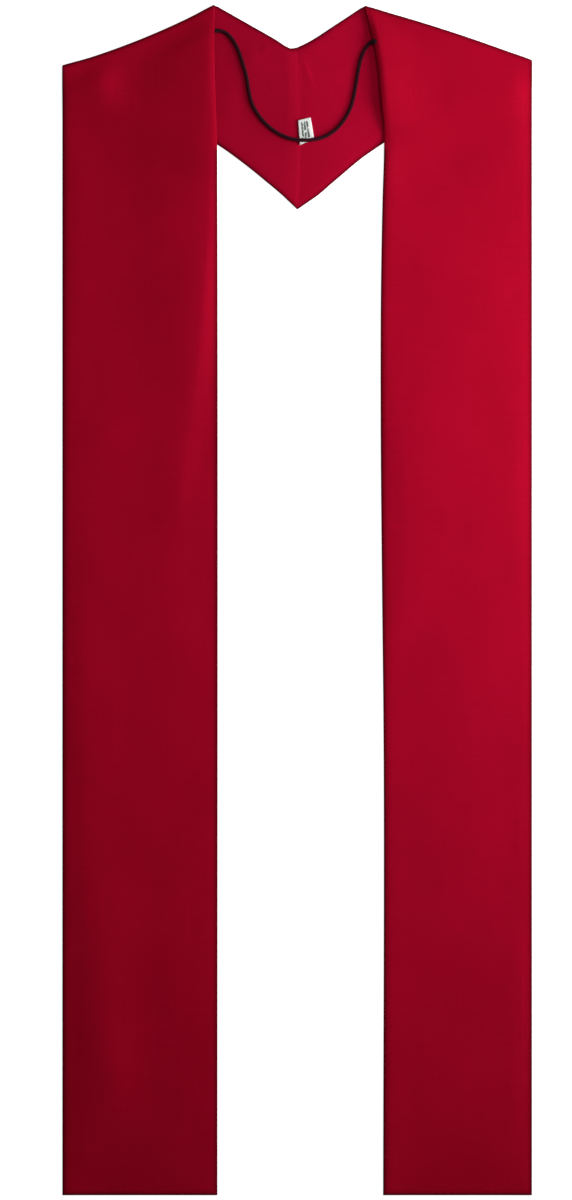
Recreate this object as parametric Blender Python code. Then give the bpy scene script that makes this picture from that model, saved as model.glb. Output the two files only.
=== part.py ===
"""A plain clerical stole, laid flat on its back with its front side up.

Each half is one lined strip of cloth. It runs from the hem up the front, turns over at the shoulder, lies
under its own front as the back-neck band and ends at the centre-back seam. A thin cord hangs between the neck
edges, and a small folded label is caught in the centre-back seam.

The frame is in metres: +X to the right as the stole is looked down on, +Y towards the neck, +Z up, with z = 0
the surface that it lies on and the origin in the middle of its outline. The sizes and tables below are in
millimetres, and widths are measured outwards from the centre-back seam.
"""

import math
from typing import NamedTuple

import bmesh
import bpy
import numpy as np

MM = 0.001

# The cloth: two faces, an interlining, and turnings that thicken it along its long edges.
CLOTH_THICKNESS = 1.6
EDGE_THICKNESS = 2.0
PLY_GAP = 0.3
SEAM_GAP = 0.3
# Inside radius of the turn at the shoulder, and how far the cloth stays puffed up below it.
FOLD_RADIUS = 0.7
FOLD_PUFF_LENGTH = 26.0
FOLD_STEPS = 8
# The front lies on the band, then drops to the surface over this length, starting just past the band's edge.
STEP_START = 6.0
STEP_LENGTH = 24.0
# How far in from the neck edge a lifted stretch of it settles down again.
LIFT_REACH = 34.0
# The front's rows are level up to here and lean over to the shoulder line above it.
LEAN_START = 330.0
# The bow of the shoulder line has faded from the band's rows by this share of its length.
BOW_FADE = 0.35
MIDDLE_COLUMNS = 9

CORD_DIAMETER = 3.4
CORD_SPACING = 6.5
LABEL_THICKNESS = 1.0
LABEL_CORNER_ROUNDING = 0.8

LENGTH_HALF = 544.4
WIDTH_HALF = 214.8
SEAM_NECK = 505.5
SEAM_TIP = 357.2


class EdgeRow(NamedTuple):
    """A line along a long edge: its inset, the cloth's thickness, and how far each face is drawn in."""

    inset: float
    thickness: float
    rounding: float


EDGE_ROWS = (
    EdgeRow(inset=0.0, thickness=EDGE_THICKNESS, rounding=EDGE_THICKNESS / 2),
    EdgeRow(inset=0.6, thickness=EDGE_THICKNESS, rounding=0.2),
    EdgeRow(inset=2.5, thickness=EDGE_THICKNESS, rounding=0.0),
    EdgeRow(inset=9.5, thickness=EDGE_THICKNESS, rounding=0.0),
    EdgeRow(inset=13.0, thickness=CLOTH_THICKNESS, rounding=0.0),
)


class EndRow(NamedTuple):
    """A line near the hem or the centre seam: its inset, and how far its faces are drawn in, as a share."""

    inset: float
    rounding_share: float


END_ROWS = (
    EndRow(inset=0.0, rounding_share=0.35),
    EndRow(inset=0.6, rounding_share=0.1),
    EndRow(inset=2.5, rounding_share=0.0),
)


class FrontRow(NamedTuple):
    """A place on a front's neck edge: its Y, its distance from the centre line, and how far it is lifted."""

    y: float
    neck_edge: float
    lift: float


class EdgePoint(NamedTuple):
    """A point of the band's outline."""

    out: float
    y: float


class Half(NamedTuple):
    """One half of the stole. Its shoulder line joins the first points of the band's two edges."""

    name: str
    side: int
    shoulder_bow: float
    front: tuple
    band_neck: tuple
    band_outer: tuple


LEFT = Half(
    name="left_half",
    side=-1,
    shoulder_bow=-4.3,
    front=(
        FrontRow(y=-LENGTH_HALF, neck_edge=72.9, lift=0.0),
        FrontRow(y=375.0, neck_edge=72.9, lift=0.0),
        FrontRow(y=417.0, neck_edge=73.0, lift=0.0),
        FrontRow(y=470.0, neck_edge=74.4, lift=0.6),
        FrontRow(y=LENGTH_HALF, neck_edge=75.7, lift=0.0),
    ),
    band_neck=(
        EdgePoint(out=75.7, y=LENGTH_HALF + 0.2),
        EdgePoint(out=42.0, y=525.5),
        EdgePoint(out=20.0, y=512.9),
        EdgePoint(out=9.0, y=506.0),
        EdgePoint(out=5.4, y=504.4),
        EdgePoint(out=SEAM_GAP / 2, y=SEAM_NECK),
    ),
    band_outer=(
        EdgePoint(out=WIDTH_HALF, y=489.0),
        EdgePoint(out=143.0, y=452.6),
        EdgePoint(out=72.0, y=415.9),
        EdgePoint(out=37.2, y=390.0),
        EdgePoint(out=SEAM_GAP / 2, y=SEAM_TIP),
    ),
)

RIGHT = Half(
    name="right_half",
    side=1,
    shoulder_bow=2.3,
    front=(
        FrontRow(y=-LENGTH_HALF, neck_edge=78.6, lift=0.0),
        FrontRow(y=-90.0, neck_edge=78.7, lift=0.0),
        FrontRow(y=0.0, neck_edge=77.7, lift=0.0),
        FrontRow(y=180.0, neck_edge=76.3, lift=0.0),
        FrontRow(y=275.0, neck_edge=76.5, lift=0.0),
        FrontRow(y=365.0, neck_edge=78.0, lift=0.0),
        FrontRow(y=411.0, neck_edge=79.3, lift=0.3),
        FrontRow(y=423.0, neck_edge=79.3, lift=0.6),
        FrontRow(y=437.0, neck_edge=78.3, lift=2.1),
        FrontRow(y=446.0, neck_edge=77.6, lift=3.4),
        FrontRow(y=462.0, neck_edge=76.2, lift=4.2),
        FrontRow(y=488.0, neck_edge=73.6, lift=4.0),
        FrontRow(y=515.0, neck_edge=68.7, lift=3.1),
        FrontRow(y=535.0, neck_edge=63.5, lift=1.1),
        FrontRow(y=543.2, neck_edge=61.4, lift=0.3),
    ),
    band_neck=(
        EdgePoint(out=61.4, y=543.6),
        EdgePoint(out=36.0, y=526.9),
        EdgePoint(out=6.7, y=508.6),
        EdgePoint(out=SEAM_GAP / 2, y=SEAM_NECK),
    ),
    band_outer=(
        EdgePoint(out=WIDTH_HALF, y=493.8),
        EdgePoint(out=148.0, y=461.0),
        EdgePoint(out=79.3, y=418.2),
        EdgePoint(out=57.5, y=402.9),
        EdgePoint(out=39.2, y=387.5),
        EdgePoint(out=20.9, y=372.2),
        EdgePoint(out=SEAM_GAP / 2, y=SEAM_TIP),
    ),
)

# Rows across a front, as the Y of their ends on the neck edge, and across the band, as shares of its length.
FRONT_LEVELS = np.concatenate(
    [
        np.linspace(-534.0, -530.0, 2),
        np.linspace(-455.0, 295.0, 11),
        np.linspace(330.0, 374.0, 3),
        np.linspace(384.0, 519.0, 16),
        np.linspace(525.0, 537.0, 3),
    ]
)
BAND_SHARES = (0.03, 0.08, 0.15, 0.24, 0.34, 0.44, 0.54, 0.64, 0.74, 0.83, 0.9, 0.94, 0.97)


class RoutePoint(NamedTuple):
    """A point of the cord's centre line: its X, its Y, and its height above where it lies on the band."""

    x: float
    y: float
    rise: float


CORD_ROUTE = (
    RoutePoint(x=-75.0, y=520.2, rise=0.0),
    RoutePoint(x=-69.7, y=520.4, rise=0.0),
    RoutePoint(x=-64.5, y=518.0, rise=0.0),
    RoutePoint(x=-59.2, y=512.5, rise=0.0),
    RoutePoint(x=-54.8, y=504.8, rise=0.0),
    RoutePoint(x=-50.0, y=491.4, rise=0.0),
    RoutePoint(x=-46.0, y=477.2, rise=0.0),
    RoutePoint(x=-44.0, y=464.4, rise=0.0),
    RoutePoint(x=-40.2, y=451.5, rise=0.0),
    RoutePoint(x=-35.2, y=443.2, rise=0.0),
    RoutePoint(x=-27.4, y=434.3, rise=0.0),
    RoutePoint(x=-17.0, y=426.6, rise=0.2),
    RoutePoint(x=-6.8, y=422.1, rise=0.9),
    RoutePoint(x=3.5, y=420.3, rise=1.35),
    RoutePoint(x=13.7, y=420.7, rise=1.35),
    RoutePoint(x=24.1, y=423.2, rise=0.5),
    RoutePoint(x=34.3, y=429.3, rise=0.0),
    RoutePoint(x=44.3, y=441.0, rise=0.0),
    RoutePoint(x=50.0, y=453.5, rise=0.0),
    RoutePoint(x=52.6, y=464.4, rise=0.0),
    RoutePoint(x=54.3, y=474.6, rise=0.0),
    RoutePoint(x=56.6, y=487.5, rise=0.0),
    RoutePoint(x=59.7, y=499.0, rise=0.0),
    RoutePoint(x=62.9, y=505.7, rise=0.0),
    RoutePoint(x=67.0, y=510.0, rise=0.0),
    RoutePoint(x=70.4, y=510.7, rise=0.0),
    RoutePoint(x=73.4, y=510.6, rise=0.0),
)


class Corner(NamedTuple):
    """A corner of the label, on the right half of the band beside the seam."""

    x: float
    y: float


LABEL_CORNERS = (
    Corner(x=0.9, y=438.2),
    Corner(x=12.3, y=440.9),
    Corner(x=15.6, y=421.6),
    Corner(x=2.4, y=416.0),
)


def column(rows, name):
    """One named column of a table, as an array."""
    return np.array([getattr(row, name) for row in rows], dtype=float)


def ease(share):
    """A smooth step from 0 to 1, level at both ends."""
    t = np.clip(share, 0.0, 1.0)
    return t * t * (3.0 - 2.0 * t)


def through(knots, values, at):
    """A smooth curve through a table's values. A knot's slope is the weighted mean of the slopes beside it."""
    gaps = np.diff(knots)
    slopes = np.diff(values) / gaps
    tangents = np.empty_like(values)
    tangents[0] = slopes[0]
    tangents[-1] = slopes[-1]
    tangents[1:-1] = (slopes[:-1] * gaps[1:] + slopes[1:] * gaps[:-1]) / (gaps[1:] + gaps[:-1])
    i = np.clip(np.searchsorted(knots, at, side="right") - 1, 0, len(gaps) - 1)
    h = gaps[i]
    t = np.clip((at - knots[i]) / h, 0.0, 1.0)
    start = (1 + 2 * t) * (1 - t) ** 2 * values[i] + t * (1 - t) ** 2 * h * tangents[i]
    finish = t * t * (3 - 2 * t) * values[i + 1] - t * t * (1 - t) * h * tangents[i + 1]
    return start + finish


def along(points, shares):
    """Points at these shares of a smooth line's length, through a table of EdgePoint rows."""
    out, y = column(points, "out"), column(points, "y")
    knots = np.concatenate([[0.0], np.cumsum(np.hypot(np.diff(out), np.diff(y)))])
    at = np.asarray(shares) * knots[-1]
    return np.stack([through(knots, out, at), through(knots, y, at)], axis=-1)


def across(neck_ends, outer_ends):
    """Plan points of rows that run from a neck end to an outer end, with the shares of each row's width.

    The columns near each edge keep their real inset, and the middle columns share the width between them.
    """
    width = np.linalg.norm(outer_ends - neck_ends, axis=1)[:, None]
    inset = column(EDGE_ROWS, "inset")[None, :]
    near = inset / width
    middle = np.linspace(0.0, 1.0, MIDDLE_COLUMNS + 2)[None, 1:-1]
    middle = near[:, -1:] + middle * (1.0 - 2.0 * near[:, -1:])
    shares = np.concatenate([near, middle, 1.0 - near[:, ::-1]], axis=1)
    plan = neck_ends[:, None, :] + (outer_ends - neck_ends)[:, None, :] * shares[:, :, None]
    return plan, shares, shares * width


def wall_columns():
    """The cloth's thickness in each column, and how far the turned edges draw its faces in."""
    thickness = column(EDGE_ROWS, "thickness")
    rounding = column(EDGE_ROWS, "rounding")
    middle = np.full(MIDDLE_COLUMNS, CLOTH_THICKNESS)
    thickness = np.concatenate([thickness, middle, thickness[::-1]])
    rounding = np.concatenate([rounding, np.zeros(MIDDLE_COLUMNS), rounding[::-1]])
    return thickness, rounding


def end_rounding(row_count, at_start):
    """Each row's rounding as a share of the thickness. Only the end rows, at a hem or seam, have any."""
    shares = np.zeros(row_count)
    ends = column(END_ROWS, "rounding_share")
    if at_start:
        shares[: len(ends)] = ends
    else:
        shares[-len(ends) :] = ends[::-1]
    return shares[:, None]


def bow(half, shares):
    """How far the shoulder line bows up or down at these shares of its length."""
    return 4.0 * half.shoulder_bow * shares * (1.0 - shares)


def shoulder(half):
    """The ends of the line that the cloth turns round, set in from the outline, and that inset."""
    neck = np.array([half.band_neck[0].out, half.band_neck[0].y])
    outer = np.array([half.band_outer[0].out, half.band_outer[0].y])
    slope = math.atan2(neck[1] - outer[1], outer[0] - neck[0])
    drop = (FOLD_RADIUS + EDGE_THICKNESS) / math.cos(slope)
    return neck - (0.0, drop), outer - (0.0, drop), slope


def stacked(plan, z):
    """Plan points with their heights."""
    return np.concatenate([plan, z[:, :, None]], axis=2)


def front_rows(half):
    """The front, from the hem to the shoulder line: its inside face below and its outside face above.

    The inside face's height is the band's thickness and the gap where it lies on the band, 0 on the surface,
    and an eased ramp between them. Towards the shoulder it eases up to the turn's own height. A lifted stretch
    of the neck edge adds lift * exp(-(distance / reach)^2).
    """
    neck_turn, outer_turn, _ = shoulder(half)
    hem = -LENGTH_HALF + column(END_ROWS, "inset")
    levels = np.concatenate([hem, FRONT_LEVELS, [neck_turn[1]]])
    lean = ease((levels - LEAN_START) / (neck_turn[1] - LEAN_START))
    neck_edge = through(column(half.front, "y"), column(half.front, "neck_edge"), levels)
    neck_ends = np.stack([neck_edge, levels], axis=1)
    outer_y = levels - lean * (neck_turn[1] - outer_turn[1])
    outer_ends = np.stack([np.full_like(levels, WIDTH_HALF), outer_y], axis=1)
    plan, shares, distance = across(neck_ends, outer_ends)
    plan[:, :, 1] += bow(half, shares) * lean[:, None]

    thickness, rounding = wall_columns()
    out_knots, y_knots = column(half.band_outer, "out")[::-1], column(half.band_outer, "y")[::-1]
    band_edge = through(out_knots, y_knots, plan[:, :, 0])
    band_slope = math.atan2(y_knots[-1] - y_knots[-3], out_knots[-1] - out_knots[-3])
    past_band = (band_edge - plan[:, :, 1]) * math.cos(band_slope)
    height = (EDGE_THICKNESS + PLY_GAP) * (1.0 - ease((past_band - STEP_START) / STEP_LENGTH))
    puff = ease(1.0 - (plan[-1:, :, 1] - plan[:, :, 1]) / FOLD_PUFF_LENGTH)
    height = height * (1.0 - puff) + (2.0 * FOLD_RADIUS + thickness) * puff
    lift = np.maximum(through(column(half.front, "y"), column(half.front, "lift"), levels), 0.0)[:, None]
    height = height + lift * np.exp(-((distance / LIFT_REACH) ** 2))

    drawn_in = np.maximum(rounding, end_rounding(len(levels), at_start=True) * thickness)
    inside = stacked(plan, height + drawn_in)
    outside = stacked(plan, height + thickness - drawn_in)
    return inside, outside


def turn_rows(half, line):
    """The turn at the shoulder: half circles round its line, from the front above to the band below."""
    thickness, rounding = wall_columns()
    _, _, slope = shoulder(half)
    angles = np.linspace(math.pi / 2, -math.pi / 2, FOLD_STEPS + 1)[1:-1, None]
    faces = []
    for radius in (FOLD_RADIUS + rounding, FOLD_RADIUS + thickness - rounding):
        rows = np.repeat(line[None, :, :2], len(angles), axis=0)
        rows[:, :, 1] += radius * np.cos(angles) / math.cos(slope)
        faces.append(stacked(rows, FOLD_RADIUS + thickness + radius * np.sin(angles)))
    return faces


def band_rows(half):
    """The band behind the neck, from the shoulder line to the centre-back seam, with its inside face up."""
    neck_turn, outer_turn, _ = shoulder(half)
    neck_points = (EdgePoint(*neck_turn),) + half.band_neck[1:]
    outer_points = (EdgePoint(*outer_turn),) + half.band_outer[1:]
    places = np.array([0.0, *BAND_SHARES])
    neck_ends = np.concatenate([along(neck_points, places), seam_ends(neck_points)])
    outer_ends = np.concatenate([along(outer_points, places), seam_ends(outer_points)])
    plan, shares, _ = across(neck_ends, outer_ends)
    plan[: len(places), :, 1] += bow(half, shares[: len(places)]) * (1.0 - ease(places / BOW_FADE))[:, None]

    thickness, rounding = wall_columns()
    drawn_in = np.maximum(rounding, end_rounding(len(plan), at_start=False) * thickness)
    inside = stacked(plan, thickness - drawn_in)
    outside = stacked(plan, drawn_in + np.zeros_like(inside[:, :, 0]))
    return inside, outside


def seam_ends(points):
    """The ends of the last rows, at the end rows' insets from the centre seam, on the edge's last straight."""
    last, before = np.array(points[-1]), np.array(points[-2])
    step = (before - last) / (before[0] - last[0])
    return last + column(END_ROWS, "inset")[::-1, None] * step


def loft(name, inside, outside, side):
    """A closed wall through rows of inside and outside points, which meet along the two long edges.

    Each ring runs out along the outside face and back along the inside one. A ladder of faces closes each end.
    """
    rows, columns, _ = inside.shape
    rings = np.concatenate([outside, inside[:, -2:0:-1]], axis=1)
    rings[:, :, 0] *= side
    count = rings.shape[1]
    mesh = bmesh.new()
    verts = [mesh.verts.new(point) for point in (rings * MM).reshape(-1, 3)]
    for row in range(rows - 1):
        for i in range(count):
            j = (i + 1) % count
            corners = (row * count + i, row * count + j, (row + 1) * count + j, (row + 1) * count + i)
            mesh.faces.new([verts[k] for k in corners])
    for row in (0, rows - 1):
        for i in range(columns - 1):
            opposite = [k for k in (count - i - 1, (count - i) % count) if k not in (i, i + 1)]
            mesh.faces.new([verts[row * count + k] for k in (i, i + 1, *opposite)])
    return finished(name, mesh)


def finished(name, mesh):
    """A smooth-shaded object from a bmesh, with its faces pointing outwards."""
    bmesh.ops.recalc_face_normals(mesh, faces=mesh.faces)
    data = bpy.data.meshes.new(name)
    mesh.to_mesh(data)
    mesh.free()
    data.shade_smooth()
    piece = bpy.data.objects.new(name, data)
    bpy.context.collection.objects.link(piece)
    return piece


def material(name, colour, roughness):
    """A Principled BSDF with these values and no metal."""
    made = bpy.data.materials.new(name)
    made.use_nodes = True
    shader = made.node_tree.nodes["Principled BSDF"]
    shader.inputs["Base Color"].default_value = (*colour, 1.0)
    shader.inputs["Roughness"].default_value = roughness
    shader.inputs["Metallic"].default_value = 0.0
    return made


def make_half(half):
    """One half of the stole, from its hem to the centre-back seam."""
    front_inside, front_outside = front_rows(half)
    turn_inside, turn_outside = turn_rows(half, front_inside[-1])
    band_inside, band_outside = band_rows(half)
    inside = np.concatenate([front_inside, turn_inside, band_inside])
    outside = np.concatenate([front_outside, turn_outside, band_outside])
    piece = loft(half.name, inside, outside, half.side)
    piece.data.materials.append(material(half.name + "_cloth", (0.42, 0.004, 0.02), 0.75))
    return piece


def make_cord():
    """The cord, a round tube on a smooth curve through its route, lying just clear of the band."""
    rest_height = CLOTH_THICKNESS + PLY_GAP + CORD_DIAMETER / 2
    x, y, rise = (column(CORD_ROUTE, name) for name in ("x", "y", "rise"))
    knots = np.concatenate([[0.0], np.cumsum(np.hypot(np.diff(x), np.diff(y)))])
    at = np.linspace(0.0, knots[-1], round(knots[-1] / CORD_SPACING) + 1)
    height = rest_height + through(knots, rise, at)
    points = np.stack([through(knots, x, at), through(knots, y, at), height], axis=1)
    data = bpy.data.curves.new("neck_cord", "CURVE")
    data.dimensions = "3D"
    data.bevel_depth = CORD_DIAMETER / 2 * MM
    data.bevel_resolution = 2
    data.use_fill_caps = True
    spline = data.splines.new("POLY")
    spline.points.add(len(points) - 1)
    for point, place in zip(spline.points, points * MM):
        point.co = (*place, 1.0)
    piece = bpy.data.objects.new("neck_cord", data)
    bpy.context.collection.objects.link(piece)
    data.materials.append(material("cord_yarn", (0.006, 0.006, 0.008), 0.85))
    return piece


def make_label():
    """The folded label, a thin plate with rounded corners that lies just clear of the band."""
    low = CLOTH_THICKNESS + PLY_GAP
    mesh = bmesh.new()
    verts = [mesh.verts.new((corner.x * MM, corner.y * MM, low * MM)) for corner in LABEL_CORNERS]
    face = mesh.faces.new(verts)
    raised = bmesh.ops.extrude_face_region(mesh, geom=[face])
    top = [item for item in raised["geom"] if isinstance(item, bmesh.types.BMVert)]
    bmesh.ops.translate(mesh, verts=top, vec=(0.0, 0.0, LABEL_THICKNESS * MM))
    upright = [e for e in mesh.edges if abs(e.verts[0].co.z - e.verts[1].co.z) > LABEL_THICKNESS * MM / 2]
    rounding = LABEL_CORNER_ROUNDING * MM
    bmesh.ops.bevel(mesh, geom=upright, offset=rounding, segments=3, profile=0.5, affect="EDGES")
    piece = finished("sewn_label", mesh)
    piece.data.set_sharp_from_angle(angle=math.radians(40))
    piece.data.materials.append(material("label_ribbon", (0.8, 0.8, 0.78), 0.6))
    return piece


for old in list(bpy.data.objects):
    bpy.data.objects.remove(old, do_unlink=True)
make_half(LEFT)
make_half(RIGHT)
make_cord()
make_label()
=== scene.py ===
"""A plain clerical stole in red cloth, laid flat on its back with its front side up.

Its maker sews two lined halves together down the centre back, catches a small ribbon label in that seam, and
hangs a thin black cord between the two neck edges. The frame is in metres: +X to the right as the stole is
looked down on, +Y towards the neck, +Z up from the surface that it lies on. Sizes and tables are in
millimetres.
"""

import math
from typing import NamedTuple

import bpy
import numpy as np
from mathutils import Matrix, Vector


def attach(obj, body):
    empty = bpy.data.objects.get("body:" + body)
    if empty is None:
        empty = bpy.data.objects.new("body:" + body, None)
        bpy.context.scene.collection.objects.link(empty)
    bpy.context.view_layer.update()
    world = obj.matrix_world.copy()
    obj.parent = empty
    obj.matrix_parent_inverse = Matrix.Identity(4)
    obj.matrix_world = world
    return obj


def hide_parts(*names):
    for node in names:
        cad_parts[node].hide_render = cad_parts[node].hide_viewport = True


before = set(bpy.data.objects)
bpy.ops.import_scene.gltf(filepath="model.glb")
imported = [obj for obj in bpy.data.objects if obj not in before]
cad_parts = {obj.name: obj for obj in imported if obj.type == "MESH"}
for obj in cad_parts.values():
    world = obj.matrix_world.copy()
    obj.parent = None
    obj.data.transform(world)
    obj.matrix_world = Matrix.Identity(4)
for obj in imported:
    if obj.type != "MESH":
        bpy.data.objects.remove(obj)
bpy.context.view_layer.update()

# The camera. It hangs straight above the stole, far enough back that the view hardly widens, with the neck
# at the top of the picture.

MM = 0.001
VIEW_HEIGHT = 3050.0
VIEW_CENTRE_X = -10.2
VIEW_CENTRE_Y = 0.1
LENS = 100.0
SENSOR_WIDTH = 36.0
FARTHEST_SEEN = 100.0

camera = bpy.data.objects.new("camera", bpy.data.cameras.new("camera"))
camera.data.lens = LENS
camera.data.sensor_width = SENSOR_WIDTH
camera.data.clip_end = FARTHEST_SEEN
camera.location = (VIEW_CENTRE_X * MM, VIEW_CENTRE_Y * MM, VIEW_HEIGHT * MM)
bpy.context.scene.collection.objects.link(camera)
bpy.context.scene.camera = camera
bpy.context.scene.view_settings.view_transform = "Standard"


# The neck cord. A thin, soft black cord of three plies laid up together, sewn to both neck edges so that
# the halves can't spread. It lies slack on the band in one deep curve, and over the label where it is lowest.

class RoutePoint(NamedTuple):
    """A point of the cord's centre line: its X, its Y, and its height above where it lies on the band."""

    x: float
    y: float
    rise: float = 0.0


CORD_ROUTE = (
    RoutePoint(x=-75.0, y=520.2),
    RoutePoint(x=-69.7, y=520.4),
    RoutePoint(x=-64.5, y=518.0),
    RoutePoint(x=-59.2, y=512.5),
    RoutePoint(x=-54.8, y=504.8),
    RoutePoint(x=-50.0, y=491.4),
    RoutePoint(x=-46.0, y=477.2),
    RoutePoint(x=-44.0, y=464.4),
    RoutePoint(x=-40.2, y=451.5),
    RoutePoint(x=-35.2, y=443.2),
    RoutePoint(x=-27.4, y=434.3),
    RoutePoint(x=-17.0, y=426.6, rise=0.2),
    RoutePoint(x=-6.8, y=422.1, rise=0.9),
    RoutePoint(x=3.5, y=420.3, rise=1.35),
    RoutePoint(x=13.7, y=420.7, rise=1.35),
    RoutePoint(x=24.1, y=423.2, rise=0.5),
    RoutePoint(x=34.3, y=429.3),
    RoutePoint(x=44.3, y=441.0),
    RoutePoint(x=50.0, y=453.5),
    RoutePoint(x=52.6, y=464.4),
    RoutePoint(x=54.3, y=474.6),
    RoutePoint(x=56.6, y=487.5),
    RoutePoint(x=59.7, y=499.0),
    RoutePoint(x=62.9, y=505.7),
    RoutePoint(x=67.0, y=510.0),
    RoutePoint(x=70.4, y=510.7),
    RoutePoint(x=73.4, y=510.6),
)
# The cord lies just clear of the band's upper face, flattened a little by its own softness.
CORD_DIAMETER = 3.4
CORD_FLATTENED = 0.8
BAND_TOP = 1.6
CORD_CLEARANCE = 0.05
CORD_REST = BAND_TOP + CORD_CLEARANCE + CORD_DIAMETER / 2 * CORD_FLATTENED
# Its plies are rounded by this power, and the groove between them goes round once a pitch.
CORD_PLIES = 3
PLY_GROOVE = 0.2
PLY_ROUNDING = 0.8
TWIST_PITCH = 8.5
STATION_SPACING = 0.55
PATH_SPACING = 2.5
CORD_SIDES = 30
# Its ends close over this length, down to a small flat.
END_ROUNDING = 1.2
END_FLAT = 0.985
# The left end is caught under the strip's edge, which presses it flatter. The right one sags a little, over
# its last points, and climbs onto the edge it is sewn to.
LEFT_TUCK = 1.4
LEFT_PRESSED = 0.15
LEFT_PRESSED_LENGTH = 3.0
RIGHT_CLIMB = 5.2
CLIMB_LENGTH = 6.5
RIGHT_SAG = 0.9
SAGGING_POINTS = 4
# The cut end at the right is a lump where the plies have opened under their stitches.
LUMP_LENGTH = 7.5
LUMP_REACH = LUMP_LENGTH / 2.6
LUMP_SWELL = 0.5
# Turns of black thread hold each end: how far along the cord from its end they lie, and how thick they are.
# They bite into the cord, more so where the strip's edge presses on them, and each leans its own way.
THREAD_DIAMETER = 0.5
THREAD_BITE = 0.98
THREAD_PRESSED = 0.9
THREAD_LEAN = 0.35
LEFT_STITCHES = (1.7, 2.4, 3.0)
RIGHT_STITCHES = (2.1, 2.8, 3.6, 4.3, 5.2)
THREAD_STEPS = 28
THREAD_SIDES = 8


def column(rows, name):
    """One named column of a table, as an array."""
    return np.array([getattr(row, name) for row in rows], dtype=float)


def through(knots, values, at):
    """A smooth curve through a table's values. A knot's slope is the weighted mean of those beside it."""
    gaps = np.diff(knots)
    slopes = np.diff(values) / gaps
    tangents = np.empty_like(values)
    tangents[0] = slopes[0]
    tangents[-1] = slopes[-1]
    tangents[1:-1] = (slopes[:-1] * gaps[1:] + slopes[1:] * gaps[:-1]) / (gaps[1:] + gaps[:-1])
    i = np.clip(np.searchsorted(knots, at, side="right") - 1, 0, len(gaps) - 1)
    h = gaps[i]
    t = np.clip((at - knots[i]) / h, 0.0, 1.0)
    start = (1 + 2 * t) * (1 - t) ** 2 * values[i] + t * (1 - t) ** 2 * h * tangents[i]
    finish = t * t * (3 - 2 * t) * values[i + 1] - t * t * (1 - t) * h * tangents[i + 1]
    return start + finish


def ease(share):
    """A smooth step from 0 to 1, level at both ends: 3t^2 - 2t^3."""
    t = np.clip(share, 0.0, 1.0)
    return t * t * (3.0 - 2.0 * t)


def hump(distance, reach):
    """A bell of height 1 round 0: exp(-(distance / reach)^2)."""
    return np.exp(-((distance / reach) ** 2))


def mesh_piece(name, points, faces, materials):
    """A smooth piece from points in millimetres and faces between them, with its materials in order."""
    mesh = bpy.data.meshes.new(name)
    mesh.from_pydata((points * MM).reshape(-1, 3), [], faces)
    mesh.shade_smooth()
    for made in materials:
        mesh.materials.append(made)
    piece = bpy.data.objects.new(name, mesh)
    bpy.context.scene.collection.objects.link(piece)
    return piece


def ring_mesh(name, rings, uv, caps, materials):
    """A closed, smooth mesh over rings of points, rings by places, with faces between each ring and the next.

    A face joins a place and the next one on its ring to the same two on the next ring. caps lists the faces
    that close the last ring, as places on it, and the first ring takes them turned round. uv has one more
    place than the rings, where the pattern closes.
    """
    count, places = rings.shape[:2]
    here = np.arange(count * places).reshape(count, places)
    beside = np.roll(here, -1, axis=1)
    quads = np.stack([here[:-1], beside[:-1], beside[1:], here[1:]], axis=-1).reshape(-1, 4)
    quad_uv = np.stack([uv[:-1, :-1], uv[:-1, 1:], uv[1:, 1:], uv[1:, :-1]], axis=2).reshape(-1, 2)
    first = [cap[::-1] for cap in caps]
    last = [[(count - 1) * places + place for place in cap] for cap in caps]
    cap_uv = [uv[corner // places, corner % places] for cap in first + last for corner in cap]
    piece = mesh_piece(name, rings, quads.tolist() + first + last, materials)
    layer = piece.data.uv_layers.new(name="cut")
    layer.data.foreach_set("uv", np.concatenate([quad_uv, np.array(cap_uv)]).astype(np.float32).ravel())
    return piece


def tube_rings(centre, radius, flat, sides):
    """Rings round a line. Each lies across the line, with its points at radius, and its height times flat."""
    tangent = np.gradient(centre, axis=0)
    tangent /= np.linalg.norm(tangent, axis=1, keepdims=True)
    level = np.cross([0.0, 0.0, 1.0], tangent)
    level /= np.linalg.norm(level, axis=1, keepdims=True)
    raised = np.cross(tangent, level)
    angle = np.linspace(0.0, 2.0 * math.pi, sides, endpoint=False)[None, :, None]
    spread = level[:, None, :] * np.cos(angle) + raised[:, None, :] * np.sin(angle) * flat[:, None, None]
    return centre[:, None, :] + spread * radius[:, :, None]


def tube_uv(run, sides):
    """Lengthways distance in metres, and the share of the way round, for each place of a tube's rings."""
    share = np.linspace(0.0, 1.0, sides + 1)
    return np.stack(np.broadcast_arrays(run[:, None] * MM, share[None, :]), axis=-1)


def cord_line(at_spacing):
    """Points of the cord's centre line at this spacing, each with its distance from the left end."""
    x, y, rise = (column(CORD_ROUTE, name) for name in ("x", "y", "rise"))
    x[0] -= LEFT_TUCK
    y[-SAGGING_POINTS:] -= RIGHT_SAG
    knots = np.concatenate([[0.0], np.cumsum(np.hypot(np.diff(x), np.diff(y)))])
    run = np.linspace(0.0, knots[-1], round(knots[-1] / at_spacing) + 1)
    climb = RIGHT_CLIMB * hump(knots[-1] - run, CLIMB_LENGTH)
    height = CORD_REST + np.maximum(through(knots, rise, run), 0.0) + climb
    return np.stack([through(knots, x, run), through(knots, y, run), height], axis=1), run


def lump(from_right):
    """How much the opened plies swell the cord at this distance from its right end: 1 + swell * bell."""
    return 1.0 + LUMP_SWELL * hump(from_right - LUMP_LENGTH / 2, LUMP_REACH)


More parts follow.
